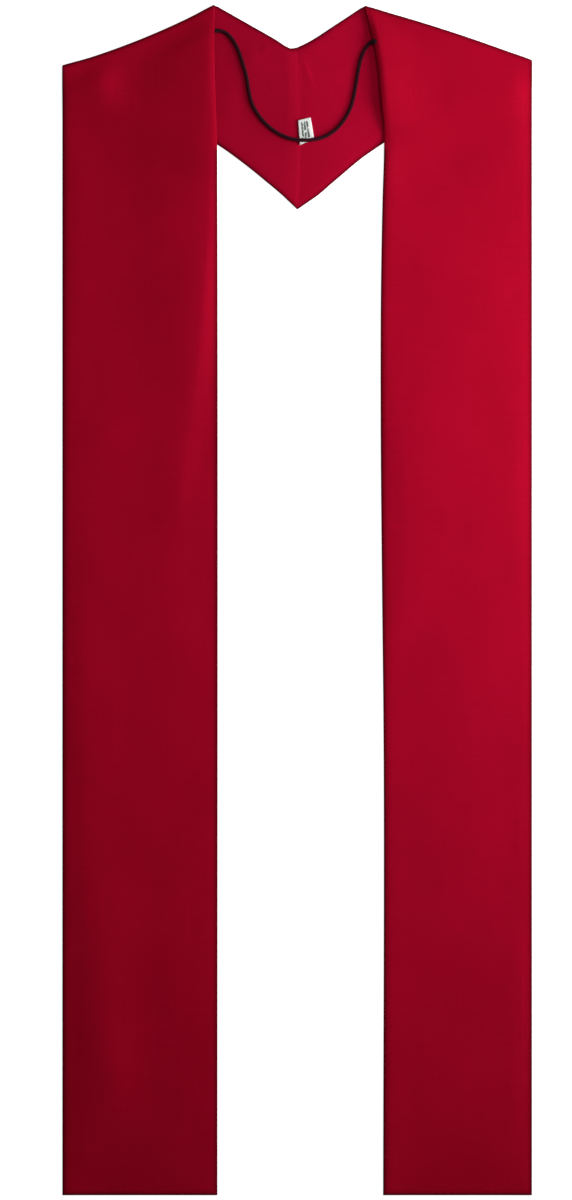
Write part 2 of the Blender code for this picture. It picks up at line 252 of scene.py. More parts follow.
def cord_rings():
    """The cord's rings. The radius dips in a groove between plies, and the grooves go round once a pitch.

    With the angle a from a ply's middle and n plies, radius = half the diameter * (1 - groove * (1 - c)),
    where c is |cos(n a / 2)| to the power that rounds the plies.
    """
    centre, run = cord_line(STATION_SPACING)
    from_right = run[-1] - run
    from_end = np.minimum(run, from_right)
    angle = np.linspace(0.0, 2.0 * math.pi, CORD_SIDES, endpoint=False)[None, :]
    turn = angle - 2.0 * math.pi * run[:, None] / TWIST_PITCH
    plies = 1.0 - PLY_GROOVE * (1.0 - np.abs(np.cos(turn * CORD_PLIES / 2.0)) ** PLY_ROUNDING)
    closing = np.sqrt(1.0 - np.clip(1.0 - from_end / END_ROUNDING, 0.0, END_FLAT) ** 2)
    radius = CORD_DIAMETER / 2 * plies * (lump(from_right) * closing)[:, None]
    flat = CORD_FLATTENED * (1.0 - LEFT_PRESSED * hump(run, LEFT_PRESSED_LENGTH))
    return tube_rings(centre, radius, flat, CORD_SIDES), run, centre


def new_material(name, **constants):
    """A Principled BSDF with these values on its own sockets, and its node tree."""
    made = bpy.data.materials.new(name)
    made.use_nodes = True
    shader = made.node_tree.nodes["Principled BSDF"]
    for socket, value in constants.items():
        shader.inputs[socket.replace("_", " ")].default_value = value
    return made, made.node_tree, shader


def add(tree, kind, inputs=(), **settings):
    """A new node with these settings. inputs pairs a socket's number or name with a value or a socket."""
    made = tree.nodes.new(kind)
    for name, value in settings.items():
        setattr(made, name, value)
    for socket, value in inputs:
        if isinstance(value, bpy.types.NodeSocket):
            tree.links.new(value, made.inputs[socket])
        else:
            made.inputs[socket].default_value = value
    return made


def sums(tree, operation, first, second=0.0, third=0.0):
    """A Math node's result."""
    node = add(tree, "ShaderNodeMath", [(0, first), (1, second), (2, third)], operation=operation)
    return node.outputs[0]


def noise(tree, vector, scale=1.0, detail=2.0, roughness=0.5):
    """Noise from 0 to 1 on a vector, with this many features to a unit."""
    settings = [("Vector", vector), ("Scale", scale), ("Detail", detail), ("Roughness", roughness)]
    return add(tree, "ShaderNodeTexNoise", settings).outputs["Fac"]


def stretched(tree, vector, grain):
    """A vector scaled so that noise on it has this many features to a metre, across and along."""
    node = add(tree, "ShaderNodeMapping", [("Vector", vector), ("Scale", (*grain, 1.0))])
    return node.outputs["Vector"]


def blend(tree, share, dark, light, ends=(0.0, 1.0)):
    """A colour that goes evenly from dark to light as share goes from one of these ends to the other."""
    ramp = add(tree, "ShaderNodeValToRGB", [(0, share)])
    for element, place, colour in zip(ramp.color_ramp.elements, ends, (dark, light)):
        element.position = place
        element.color = (*colour, 1.0)
    return ramp.outputs[0]


def roughen(tree, shader, height, strength, depth):
    """Fine relief on a finish, this many metres deep where height goes from 0 to 1."""
    bump = add(tree, "ShaderNodeBump", [("Strength", strength), ("Distance", depth), ("Height", height)])
    tree.links.new(bump.outputs[0], shader.inputs["Normal"])


# Fibres across a pitch of the yarn, and the grain of its lint.
YARN_FIBRES = 24.0
FIBRE_SHARE = 0.2
LINT_GRAIN = (1400.0, 9.0)
YARN_DARK = (0.015, 0.0020, 0.0046)
YARN_LIGHT = (0.044, 0.0058, 0.0140)


def yarn_material():
    """Black yarn. Fine fibres run along each ply, at the plies' slant, with a little lint on top."""
    made, tree, shader = new_material(
        "black_yarn", Roughness=0.9, Specular_IOR_Level=0.06, Sheen_Weight=0.02, Sheen_Roughness=0.5,
    )
    place = add(tree, "ShaderNodeUVMap", uv_map="cut").outputs["UV"]
    parts = add(tree, "ShaderNodeSeparateXYZ", [(0, place)])
    slant = sums(tree, "MULTIPLY_ADD", parts.outputs[0], 1.0 / (TWIST_PITCH * MM), parts.outputs[1])
    fibres = sums(tree, "SINE", sums(tree, "MULTIPLY", slant, 2.0 * math.pi * YARN_FIBRES))
    lint = noise(tree, stretched(tree, place, LINT_GRAIN), detail=3.0)
    share = sums(tree, "MULTIPLY_ADD", fibres, FIBRE_SHARE, lint)
    tree.links.new(blend(tree, share, YARN_DARK, YARN_LIGHT), shader.inputs["Base Color"])
    roughen(tree, shader, share, strength=0.5, depth=0.0002)
    return made


def stitch_piece(name, line, run, from_left, turns, made):
    """Turns of thread round the cord, all in one mesh: each a thin ring on the cord's own flattened section.

    A turn leans by lean * sin(angle) along the cord, and the lean is a slow sine of the turn's number.
    """
    angle = np.linspace(0.0, 2.0 * math.pi, THREAD_STEPS, endpoint=False)
    section = np.linspace(0.0, 2.0 * math.pi, THREAD_SIDES, endpoint=False)
    points = []
    for number, distance in enumerate(turns):
        at = distance if from_left else run[-1] - distance
        centre = np.array([np.interp(at, run, line[:, axis]) for axis in range(3)])
        ahead = np.array([np.interp(at + THREAD_DIAMETER, run, line[:, axis]) for axis in range(3)])
        forward = (ahead - centre) / np.linalg.norm(ahead - centre)
        level = np.cross([0.0, 0.0, 1.0], forward)
        raised = np.cross(forward, level)
        wide = CORD_DIAMETER / 2 * THREAD_BITE * (1.0 if from_left else lump(distance))
        tall = wide * CORD_FLATTENED * (THREAD_PRESSED if from_left else 1.0)
        lean = THREAD_LEAN * math.sin(2.1 * number + 0.6)
        out = level * np.cos(angle)[:, None] * wide + raised * np.sin(angle)[:, None] * tall
        loop = centre + out + forward * (lean * np.sin(angle + number))[:, None]
        outward = (out / np.linalg.norm(out, axis=1, keepdims=True))[:, None, :]
        round_thread = np.cos(section)[:, None] * outward + np.sin(section)[:, None] * forward
        points.append(loop[:, None, :] + THREAD_DIAMETER / 2 * round_thread)
    points = np.array(points)
    loops, around, sides = points.shape[:3]
    here = np.arange(loops * around * sides).reshape(loops, around, sides)
    ahead, beside = np.roll(here, -1, axis=1), np.roll(here, -1, axis=2)
    both = np.roll(ahead, -1, axis=2)
    quads = np.stack([here, ahead, both, beside], axis=-1).reshape(-1, 4)
    return mesh_piece(name, points, quads.tolist(), [made])


THREAD_GRAIN = 2600.0
THREAD_DARK = (0.0015, 0.0012, 0.0016)
THREAD_LIGHT = (0.009, 0.008, 0.010)


def thread_material():
    """Black sewing thread, a little glossier than the cord, with a fuzz of even noise."""
    made, tree, shader = new_material("black_thread", Roughness=0.6, Specular_IOR_Level=0.2)
    fuzz = noise(tree, add(tree, "ShaderNodeTexCoord").outputs["Object"], THREAD_GRAIN)
    tree.links.new(blend(tree, fuzz, THREAD_DARK, THREAD_LIGHT), shader.inputs["Base Color"])
    roughen(tree, shader, fuzz, strength=0.3, depth=0.0001)
    return made


rings, cord_run, cord_centre = cord_rings()
yarn = yarn_material()
cord = ring_mesh("cord", rings, tube_uv(cord_run, CORD_SIDES), [list(range(CORD_SIDES))], [yarn])
thread = thread_material()
stitches = [
    stitch_piece("cord_stitches_left", cord_centre, cord_run, True, LEFT_STITCHES, thread),
    stitch_piece("cord_stitches_right", cord_centre, cord_run, False, RIGHT_STITCHES, thread),
]
for piece in [cord, *stitches]:
    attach(piece, "root")
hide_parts("neck_cord")
cord_path, _ = cord_line(PATH_SPACING)


# The two halves. Each is one strip of red cloth, faced and lined, with its long edges turned in and
# pressed. It runs from the hem up the front, turns over at the shoulder and lies under its own front as the
# back-neck band, where its lining is uppermost. A plain seam joins the halves at the centre back.

CLOTH_THICKNESS = 1.6
EDGE_THICKNESS = 2.0
LENGTH_HALF = 544.4
WIDTH_HALF = 214.8
SEAM_NECK = 505.5
SEAM_TIP = 357.2
SEAM_GAP = 0.0
# A front lies on its half of the band, and past the band's edge it steps down to the surface.
PLY_GAP = 0.3
STEP_START = 5.0
STEP_LENGTH = 42.0
# Its last stretch puffs up to the turn at the shoulder, which is open inside by this radius.
FOLD_PUFF_LENGTH = 26.0
FOLD_RADIUS = 0.7
FOLD_STEPS = 18
# Its rows lean towards the slanting shoulder line from this Y up. The line's bow fades out in the band, by
# this share of its length.
LEAN_START = 330.0
BOW_FADE = 0.35
# A lifted neck edge takes the cloth beside it up over a reach, less a share that curls down at its rim.
LIFT_REACH = 27.0
LIFT_CURL = 0.5
LIFT_CURL_REACH = 3.3
# The turnings inside the long edges end this far in, in a low ridge. Their stitches leave ripples nearer
# the edge. Both waves start elsewhere on the outer edge.
TURNING_WIDTH = 9.6
TURNING_FADE = 24.0
TURNING_RIDGE = 0.035
RIDGE_REACH = 0.9
RIPPLE_HEIGHT = 0.022
RIPPLE_INSET = 3.4
RIPPLE_REACH = 3.2
OUTER_PHASE = 1.7
# A pressed edge slopes down over this width, by a drop of its own. The hem's and the band's are these, and
# the hem's ends just short of the corners. The loose cloth lies flat again over a length above the hem.
PRESSED_WIDTH = 7.5
HEM_DROP = 0.4
HEM_DROP_INSET = 0.3
HEM_CALM = 30.0
BAND_DROP = 0.4
# At the hem and the seam the wall closes in from each face by this share of its thickness.
WALL_CLOSING = 0.46
# The seam is a tight roll, and its bow takes the cloth beside it along over this reach.
SEAM_ROLL = 0.06
SEAM_BOW_REACH = 32.0
# The band's own rows end at this share of its length, and the last ones stand close to the seam.
BAND_ROWS_END = 0.92
# Its relief starts past this share, where it comes out from under the front, and eases in. Its swells fade
# out at its edges.
BAND_SHOWN = 0.45
BAND_SHOWN_FADE = 0.15
SWELL_FADE = 6.0
# The cloth is never quite even, except at its edges.
SLACK = 0.32
SLACK_FADE = 24.0
# Painted shade darkens each edge and fold; from this Y up the neck edge lies on the band, bare of it by so
# much.
RIM_BARE = 6.0
RIM_BARE_START = 409.0
RIM_BARE_FADE = 9.0
# The grid. Columns stand at these insets from each long edge, and rows at these from the hem and the seam.
FRONT_SPACING = 3.6
SHOULDER_SPACING = 2.3
EDGE_INSETS = (
    0, 0.05, 0.18, 0.38, 0.64, 1, 1.5, 2.2, 3.2, 4.5, 6, 7.4, 8.3, 9, 9.6, 10.2, 11, 12.3, 14.2, 16.8,
)
END_INSETS = (0, 0.08, 0.22, 0.45, 0.75, 1.1, 1.6, 2.4, 3.6)
HEM_ROWS_END = 6.0
MIDDLE_COLUMNS = 33


class FrontRow(NamedTuple):
    """A place on a front's neck edge: its Y, its distance out, how far it is pressed down, and its lift."""

    y: float
    neck_edge: float
    drop: float
    lift: float = 0.0


class EdgePoint(NamedTuple):
    """A point of the band's outline."""

    out: float
    y: float


class SeamPoint(NamedTuple):
    """A place on the centre-back seam: its Y, and its X where the seam bows."""

    y: float
    x: float


class Crease(NamedTuple):
    """A soft ridge that runs down a front, and how far its sides reach towards the neck and outer edges.

    Its columns give the places along its crest: their Ys, their distances out and their heights.
    """

    neck_side: float
    outer_side: float
    y: tuple
    out: tuple
    height: tuple


class Swell(NamedTuple):
    """A low mound in the cloth: its middle, its reach each way, its height, and its slant in degrees."""

    out: float
    y: float
    reach_out: float
    reach_y: float
    height: float
    slant: float = 0.0


class Slope(NamedTuple):
    """How the cloth slopes down to the centre-back seam: over this width, by this drop."""

    width: float
    drop: float


class Half(NamedTuple):
    """One half of the stole. Its shoulder line joins the first points of the band's two edges.

    The band's swells fade out under the front and at its edges. Its rises don't: they lift it beside a lip.
    """

    name: str
    side: int
    shoulder_bow: float
    phase: float
    outer_drop: float
    seam_slopes: tuple
    front: tuple
    band_neck: tuple
    band_outer: tuple
    creases: tuple
    swells: tuple
    band_swells: tuple
    band_rises: tuple


SEAM_LINE = (
    SeamPoint(y=SEAM_TIP, x=0.1),
    SeamPoint(y=378, x=2.3),
    SeamPoint(y=404, x=2.9),
    SeamPoint(y=430, x=3),
    SeamPoint(y=455, x=2.5),
    SeamPoint(y=480, x=1.5),
    SeamPoint(y=SEAM_NECK, x=0),
)

LEFT = Half(
    name="left_half_cloth",
    side=-1,
    shoulder_bow=-4.3,
    phase=0.4,
    outer_drop=1.0,
    seam_slopes=(Slope(width=6.0, drop=0.8), Slope(width=1.6, drop=0.28)),
    front=(
        FrontRow(y=-LENGTH_HALF, neck_edge=72.9, drop=0.35),
        FrontRow(y=375, neck_edge=72.9, drop=0.35),
        FrontRow(y=417, neck_edge=73, drop=0.6),
        FrontRow(y=470, neck_edge=74.4, drop=0.9, lift=0.6),
        FrontRow(y=LENGTH_HALF, neck_edge=75.7, drop=0.9),
    ),
    band_neck=(
        EdgePoint(out=75.7, y=LENGTH_HALF + 0.2),
        EdgePoint(out=42, y=525.5),
        EdgePoint(out=20, y=512.9),
        EdgePoint(out=9, y=506),
        EdgePoint(out=5.4, y=504.4),
        EdgePoint(out=SEAM_GAP / 2, y=SEAM_NECK),
    ),
    band_outer=(
        EdgePoint(out=WIDTH_HALF, y=489),
        EdgePoint(out=143, y=452.6),
        EdgePoint(out=72, y=415.9),
        EdgePoint(out=37.2, y=390),
        EdgePoint(out=SEAM_GAP / 2, y=SEAM_TIP),
    ),
    creases=(
        Crease(
            neck_side=16, outer_side=38,
            y=(543, 515, 478, 440, 400, 345),
            out=(80, 78.5, 77, 76.5, 77, 80),
            height=(0, 4, 6.2, 4.8, 2.8, 0),
        ),
        Crease(
            neck_side=12, outer_side=34,
            y=(445, 415, 395, 350, 297, 240, 190, 155),
            out=(79, 79.5, 80.5, 82, 86.5, 90, 95.5, 100),
            height=(0, 1.3, 1.9, 3, 3.7, 2.6, 0.9, 0),
        ),
        Crease(
            neck_side=60, outer_side=26,
            y=(515, 488, 440, 390, 330, 260, 200, 120),
            out=(118, 119, 120, 119, 119, 121, 128, 132),
            height=(0, 1.3, 1.2, 1.5, 1.6, 1.4, 0.7, 0),
        ),
        Crease(
            neck_side=15, outer_side=30,
            y=(290, 240, 195, 155, 115, 70, 20, -60),
            out=(93, 94.5, 97.5, 103, 108, 111, 114, 116),
            height=(0, 1, 2.1, 2.4, 2.4, 1.1, 0.4, 0),
        ),
        Crease(
            neck_side=15.5, outer_side=30,
            y=(514, 500, 484, 470, 455, 440, 428),
            out=(183, 183, 182, 181, 180, 180, 180),
            height=(0, 2.6, 3.7, 3.4, 1.4, 0.3, 0),
        ),
        Crease(
            neck_side=34, outer_side=15,
            y=(440, 380, 150, 0, -150, -260, -350, -457, -530),
            out=(196, 196, 196, 192, 191, 190, 190, 190, 190),
            height=(0, 0.3, 0.5, 1, 1.1, 1.2, 1.3, 1.1, 0.4),
        ),
        Crease(
            neck_side=22, outer_side=24,
            y=(-232, -290, -350, -425, -455, -485),
            out=(184, 181, 178, 171.5, 168, 166),
            height=(0, 0.6, 1.2, 1.8, 1, 0),
        ),
        Crease(
            neck_side=28, outer_side=18,
            y=(-200, -270, -345, -410, -480, -520),
            out=(118, 114, 112, 110, 108, 112),
            height=(0, 0.4, 0.7, 0.6, 0.4, 0),
        ),
        Crease(
            neck_side=1.6, outer_side=5,
            y=(-262, -292, -322),
            out=(101.4, 101.7, 102.2),
            height=(0, 0.2, 0),
        ),
    ),
    swells=(
        Swell(out=112, y=482, reach_out=17, reach_y=24, height=0.7, slant=-10),
        Swell(out=140, y=508, reach_out=24, reach_y=8, height=0.25, slant=-22),
        Swell(out=133, y=-505, reach_out=20, reach_y=22, height=0.4, slant=15),
    ),
    band_swells=(
        Swell(out=29.4, y=503.8, reach_out=5, reach_y=3.6, height=0.5, slant=30),
        Swell(out=20, y=506.5, reach_out=3.4, reach_y=2.4, height=0.3, slant=25),
        Swell(out=42, y=497, reach_out=9, reach_y=14, height=0.5, slant=25),
        Swell(out=62, y=460, reach_out=8, reach_y=26, height=0.45),
        Swell(out=34, y=414, reach_out=12, reach_y=12, height=0.35, slant=40),
        Swell(out=8, y=440, reach_out=5, reach_y=58, height=0.25),
    ),
    band_rises=(),
)

RIGHT = Half(
    name="right_half_cloth",
    side=1,
    shoulder_bow=2.3,
    phase=2.3,
    outer_drop=0.3,
    seam_slopes=(Slope(width=20.0, drop=0.7), Slope(width=6.0, drop=0.42)),
    front=(
        FrontRow(y=-LENGTH_HALF, neck_edge=78.6, drop=0.8),
        FrontRow(y=-90, neck_edge=78.7, drop=0.8),
        FrontRow(y=0, neck_edge=77.7, drop=0.9),
        FrontRow(y=180, neck_edge=76.3, drop=0.9),
        FrontRow(y=275, neck_edge=76.5, drop=0.8, lift=0.15),
        FrontRow(y=365, neck_edge=78, drop=0.8, lift=0.5),
        FrontRow(y=411, neck_edge=79.3, drop=1, lift=0.3),
        FrontRow(y=423, neck_edge=79.4, drop=1.3),
        FrontRow(y=430, neck_edge=79.2, drop=0.8, lift=0.5),
        FrontRow(y=437, neck_edge=78.9, drop=0.4, lift=1.6),
        FrontRow(y=446, neck_edge=77.8, drop=0.2, lift=2.5),
        FrontRow(y=462, neck_edge=76.2, drop=0.2, lift=3.2),
        FrontRow(y=488, neck_edge=73.6, drop=0.2, lift=3.3),
        FrontRow(y=515, neck_edge=68.7, drop=0.2, lift=2.9),
        FrontRow(y=535, neck_edge=63.5, drop=0.3, lift=2.2),
        FrontRow(y=543.2, neck_edge=61.4, drop=0.4, lift=0.4),
    ),
    band_neck=(
        EdgePoint(out=61.4, y=543.6),
        EdgePoint(out=36, y=526.9),
        EdgePoint(out=6.7, y=508.6),
        EdgePoint(out=SEAM_GAP / 2, y=SEAM_NECK),
    ),
    band_outer=(
        EdgePoint(out=WIDTH_HALF, y=493.8),
        EdgePoint(out=148, y=461),
        EdgePoint(out=79.3, y=418.2),
        EdgePoint(out=57.5, y=402.9),
        EdgePoint(out=39.2, y=387.5),
        EdgePoint(out=20.9, y=372.2),
        EdgePoint(out=SEAM_GAP / 2, y=SEAM_TIP),
    ),
    creases=(
        Crease(
            neck_side=36, outer_side=11,
            y=(512, 480, 420, 370, 230, 150, 100, 50, -300, -400, -480, -535),
            out=(198, 198, 198, 198, 198, 197, 197, 198, 197, 196, 196, 196),
            height=(0, 0.7, 0.6, 0.15, 0.25, 0.7, 0.65, 0.35, 0.4, 0.7, 0.9, 0.3),
        ),
        Crease(
            neck_side=6, outer_side=26,
            y=(541, 518, 485, 450, 436, 424, 410, 385, 355, 310, 280),
            out=(71, 73, 77.2, 79.6, 81.5, 82.5, 82, 80.5, 80.5, 80.5, 80),
            height=(0, 2.5, 3.3, 3.3, 1.9, 0.8, 0.9, 1.3, 0.7, 0.1, 0),
        ),
        Crease(
            neck_side=6, outer_side=16,
            y=(-290, -380, -470, -543),
            out=(81, 80.5, 80.5, 81),
            height=(0, 0.8, 1.1, 0.5),
        ),
        Crease(
            neck_side=48, outer_side=80,
            y=(395, 340, 260, 190, 60, -60),
            out=(124, 126, 128, 130, 132, 134),
            height=(0, 1.1, 1.5, 1.4, 0.7, 0),
        ),
        Crease(
            neck_side=18, outer_side=46,
            y=(190, 110, 20, -50, -110),
            out=(100, 100, 100, 98, 97),
            height=(0, 1.1, 1.2, 0.5, 0),
        ),
        Crease(
            neck_side=0.9, outer_side=1.3,
            y=(-172, -215, -262),
            out=(202.6, 202.8, 203.4),
            height=(0, 0.13, 0),
        ),
        Crease(
            neck_side=0.9, outer_side=1.3,
            y=(-305, -370, -440),
            out=(204.4, 204.8, 204.9),
            height=(0, 0.15, 0),
        ),
    ),
    swells=(
        Swell(out=143, y=-36, reach_out=19, reach_y=24, height=0.4, slant=12),
        Swell(out=174, y=-503, reach_out=17, reach_y=18, height=0.35),
        Swell(out=150, y=452, reach_out=26, reach_y=14, height=0.3, slant=25),
        Swell(out=96, y=495, reach_out=13, reach_y=16, height=0.35, slant=-30),
    ),
    band_swells=(
        Swell(out=8, y=484, reach_out=2.3, reach_y=14, height=0.36, slant=-20),
        Swell(out=13, y=506, reach_out=3.2, reach_y=2.4, height=0.3),
        Swell(out=36, y=470, reach_out=14, reach_y=26, height=0.4, slant=12),
        Swell(out=58, y=442, reach_out=10, reach_y=12, height=0.5, slant=-35),
    ),
    band_rises=(
        Swell(out=77, y=480, reach_out=10, reach_y=34, height=2.4, slant=-6),
    ),
)


def along(points, shares):
    """Points at these shares of a smooth line's length, through a table of EdgePoint rows."""
    out, y = column(points, "out"), column(points, "y")
    knots = np.concatenate([[0.0], np.cumsum(np.hypot(np.diff(out), np.diff(y)))])
    at = np.asarray(shares) * knots[-1]
    return np.stack([through(knots, out, at), through(knots, y, at)], axis=-1)


def across(neck_ends, outer_ends):
    """Plan points of rows that run from a neck end to an outer end, and each one's distance to both edges.

    The columns near each edge keep their real inset, and the middle columns share the width between them.
    """
    width = np.linalg.norm(outer_ends - neck_ends, axis=1)[:, None]
    near = np.array(EDGE_INSETS, dtype=float)[None, :] / width
    middle = np.linspace(0.0, 1.0, MIDDLE_COLUMNS + 2)[None, 1:-1]
    middle = near[:, -1:] + middle * (1.0 - 2.0 * near[:, -1:])
    shares = np.concatenate([near, middle, 1.0 - near[:, ::-1]], axis=1)
    plan = neck_ends[:, None, :] + (outer_ends - neck_ends)[:, None, :] * shares[:, :, None]
    return plan, shares, shares * width, (1.0 - shares) * width


def rolled(inset, radius):
    """How far a face is drawn in near an edge rolled to this radius: r - sqrt(r^2 - (r - inset)^2)."""
    past = np.clip(radius - inset, 0.0, radius)
    return radius - np.sqrt(radius * radius - past * past)


def closed_end(drawn_in, inset, radius, thickness):
    """How far a face is drawn in where an end, rolled to this radius, closes the wall this far away."""
    return np.maximum(drawn_in, np.minimum(rolled(inset, radius), WALL_CLOSING * thickness))


def pressed_end(inset):
    """How far an edge is pressed at this inset from it, from 1 at the edge to 0: (1 - inset / width)^2."""
    return np.clip(1.0 - inset / PRESSED_WIDTH, 0.0, 1.0) ** 2


def wall(from_neck, from_outer, neck_drop, outer_drop, run, phase):
    """The cloth's thickness from edge to edge, how far it is drawn in, and the relief of its upper face.

    The turnings thicken it near both long edges and end in a ridge, whose height is the product of two slow
    sines of the run. The edge itself is rolled. The ripples of its stitching are three quick sines of the
    run, and it is pressed down by drop * (1 - inset / width)^2.
    """
    inset = np.minimum(from_neck, from_outer)
    edge = np.where(from_neck < from_outer, 0.0, OUTER_PHASE)
    turning = 1.0 - ease((inset - TURNING_WIDTH / 2) / TURNING_FADE)
    thickness = CLOTH_THICKNESS + (EDGE_THICKNESS - CLOTH_THICKNESS) * turning
    comes = 0.5 + 0.5 * np.sin(run / 47.0 + phase + edge) * np.sin(run / 21.0 + 2.0 * phase)
    ridge = TURNING_RIDGE * comes * hump(inset - TURNING_WIDTH, RIDGE_REACH)
    ripple = np.sin(run / 1.9 + edge) + 0.7 * np.sin(run / 1.27 + phase) + np.sin(run / 4.3 + phase + edge)
    ripple = RIPPLE_HEIGHT * ripple * hump(inset - RIPPLE_INSET, RIPPLE_REACH)
    drawn_in = np.minimum(rolled(inset, EDGE_THICKNESS / 2), thickness / 2)
    drop = np.where(from_neck < from_outer, neck_drop, outer_drop)
    return thickness, drawn_in, ridge + ripple - drop * pressed_end(inset)


def bow(half, shares):
    """How far the shoulder line bows at these shares of its length, 4 * bow * share * (1 - share)."""
    return 4.0 * half.shoulder_bow * shares * (1.0 - shares)


def shoulder(half):
    """The ends of the line that the cloth turns round, set in from the outline, and that line's slope."""
    neck = np.array([half.band_neck[0].out, half.band_neck[0].y])
    outer = np.array([half.band_outer[0].out, half.band_outer[0].y])
    slope = math.atan2(neck[1] - outer[1], outer[0] - neck[0])
    drop = (FOLD_RADIUS + EDGE_THICKNESS) / math.cos(slope)
    return neck - (0.0, drop), outer - (0.0, drop), slope


def crease_lift(creases, plan):
    """How far the creases lift the cloth: each one's height * exp(-(distance from crest / side)^2)."""
    lift = np.zeros(plan.shape[:2])
    level = plan[:, :, 1]
    for crease in creases:
        columns = (crease.y, crease.out, crease.height)
        knots, out, height = (np.array(values[::-1], dtype=float) for values in columns)
        crest = through(knots, out, level)
        height = np.maximum(through(knots, height, level), 0.0)
        height = height * (level > knots[0]) * (level < knots[-1])
        distance = plan[:, :, 0] - crest
        side = np.where(distance < 0.0, crease.neck_side, crease.outer_side)
        lift += height * hump(distance, side)
    return lift


def swell_lift(swells, plan):
    """How far the mounds lift the cloth: height * exp(-(out / reach)^2 - (y / reach)^2), on slanted axes."""
    lift = np.zeros(plan.shape[:2])
    for swell in swells:
        slant = math.radians(swell.slant)
        out, y = plan[:, :, 0] - swell.out, plan[:, :, 1] - swell.y
        lengthways = y * math.cos(slant) + out * math.sin(slant)
        sideways = out * math.cos(slant) - y * math.sin(slant)
        lift += swell.height * hump(sideways, swell.reach_out) * hump(lengthways, swell.reach_y)
    return lift


def slack(half, plan, inset):
    """The cloth's shallow unevenness, none at the edges: sines of out and y with lengths of their own."""
    out, y, phase = plan[:, :, 0], plan[:, :, 1], half.phase
    waves = 0.30 * np.sin(y / 31.0 + out / 60.0 + phase)
    waves += 0.24 * np.sin(y / 17.0 - out / 23.0 + 2.0 * phase)
    waves += 0.26 * np.sin(out / 15.0 + y / 73.0 + 3.0 * phase)
    waves += 0.10 * np.sin(out / 8.3 - y / 29.0 + phase) * np.sin(y / 51.0 + 1.3)
    return SLACK * (waves + 0.9) * ease(inset / SLACK_FADE)


def unfolded(half, plan):
    """Plan points of the band as they lay in the flat cut, mirrored across the shoulder line."""
    start, finish, _ = shoulder(half)
    direction = (finish - start) / np.linalg.norm(finish - start)
    offset = plan - start
    lengthways = (offset @ direction)[..., None] * direction
    return start + 2.0 * lengthways - offset


def stacked(plan, z):
    """Plan points with their heights."""
    return np.concatenate([plan, z[:, :, None]], axis=2)


def front_value(half, name, levels):
    """One column of the front's table at these Ys, on a smooth curve through its rows."""
    return through(column(half.front, "y"), column(half.front, name), levels)


def front_rows(half):
    """The front, from hem to shoulder line: inside face, outside face above it, cut and painted-shade
    distance.

    The inside face's height is the band's thickness and the gap where it lies on the band, 0 on the
    surface, and an eased ramp between them. Towards the shoulder it eases up to the turn's own height. A
    lifted stretch of the neck edge adds lift * exp(-distance / reach), less a curl at its very edge, and
    the creases, the swells and the slack add their own. The painted-shade distance is each point's distance
    from the nearest edge, the hem or the turn, where painted shade darkens the colour. Where the neck edge
    lies on the band, the bare width is added to the distance from it.
    """
    neck_turn, outer_turn, shoulder_slope = shoulder(half)
    straight_length, leaning_length = LENGTH_HALF + LEAN_START, neck_turn[1] - LEAN_START
    hem = -LENGTH_HALF + np.array(END_INSETS)
    straight = np.linspace(-LENGTH_HALF + HEM_ROWS_END, LEAN_START, round(straight_length / FRONT_SPACING))
    leaning = np.linspace(LEAN_START, neck_turn[1], round(leaning_length / SHOULDER_SPACING) + 1)
    levels = np.concatenate([hem, straight, leaning[1:]])
    lean = ease((levels - LEAN_START) / leaning_length)
    neck_ends = np.stack([front_value(half, "neck_edge", levels), levels], axis=1)
    outer_y = levels - lean * (neck_turn[1] - outer_turn[1])
    outer_ends = np.stack([np.full_like(levels, WIDTH_HALF), outer_y], axis=1)
    plan, shares, from_neck, from_outer = across(neck_ends, outer_ends)
    plan[:, :, 1] += bow(half, shares) * lean[:, None]

    y = plan[:, :, 1]
    neck_drop = front_value(half, "drop", levels)[:, None]
    thickness, drawn_in, surface = wall(from_neck, from_outer, neck_drop, half.outer_drop, y, half.phase)
    out_knots, y_knots = column(half.band_outer, "out")[::-1], column(half.band_outer, "y")[::-1]
    band_edge = through(out_knots, y_knots, plan[:, :, 0])
    band_slope = math.atan2(y_knots[-1] - y_knots[-3], out_knots[-1] - out_knots[-3])
    past_band = (band_edge - y) * math.cos(band_slope)
    height = (EDGE_THICKNESS + PLY_GAP) * (1.0 - ease((past_band - STEP_START) / STEP_LENGTH))
    puff = ease(1.0 - (y[-1:] - y) / FOLD_PUFF_LENGTH)
    height = height * (1.0 - puff) + (2.0 * FOLD_RADIUS + thickness) * puff
    lift = np.maximum(front_value(half, "lift", levels), 0.0)[:, None]
    height = height + lift * (np.exp(-from_neck / LIFT_REACH) - LIFT_CURL * hump(from_neck, LIFT_CURL_REACH))
    inset = np.minimum(from_neck, from_outer)
    loose = crease_lift(half.creases, plan) + swell_lift(half.swells, plan) + slack(half, plan, inset)
    from_hem = np.broadcast_to((levels - levels[0])[:, None], inset.shape)
    height = height + loose * (1.0 - puff) * ease(from_hem / HEM_CALM)

    drawn_in = closed_end(drawn_in, from_hem, EDGE_THICKNESS / 2, thickness)
    surface = surface - HEM_DROP * pressed_end(from_hem) * (inset > HEM_DROP_INSET)
    inside = stacked(plan, height + drawn_in)
    outside = stacked(plan, height + np.maximum(thickness - drawn_in + surface * (1.0 - puff), drawn_in))
    from_turn = FOLD_RADIUS + thickness + (y[-1:] - y) * math.cos(shoulder_slope)
    bare = RIM_BARE * ease((y - RIM_BARE_START) / RIM_BARE_FADE)
    from_edge = np.minimum(from_neck + bare, from_outer)
    return inside, outside, plan, np.minimum(np.minimum(from_edge, from_hem), from_turn)


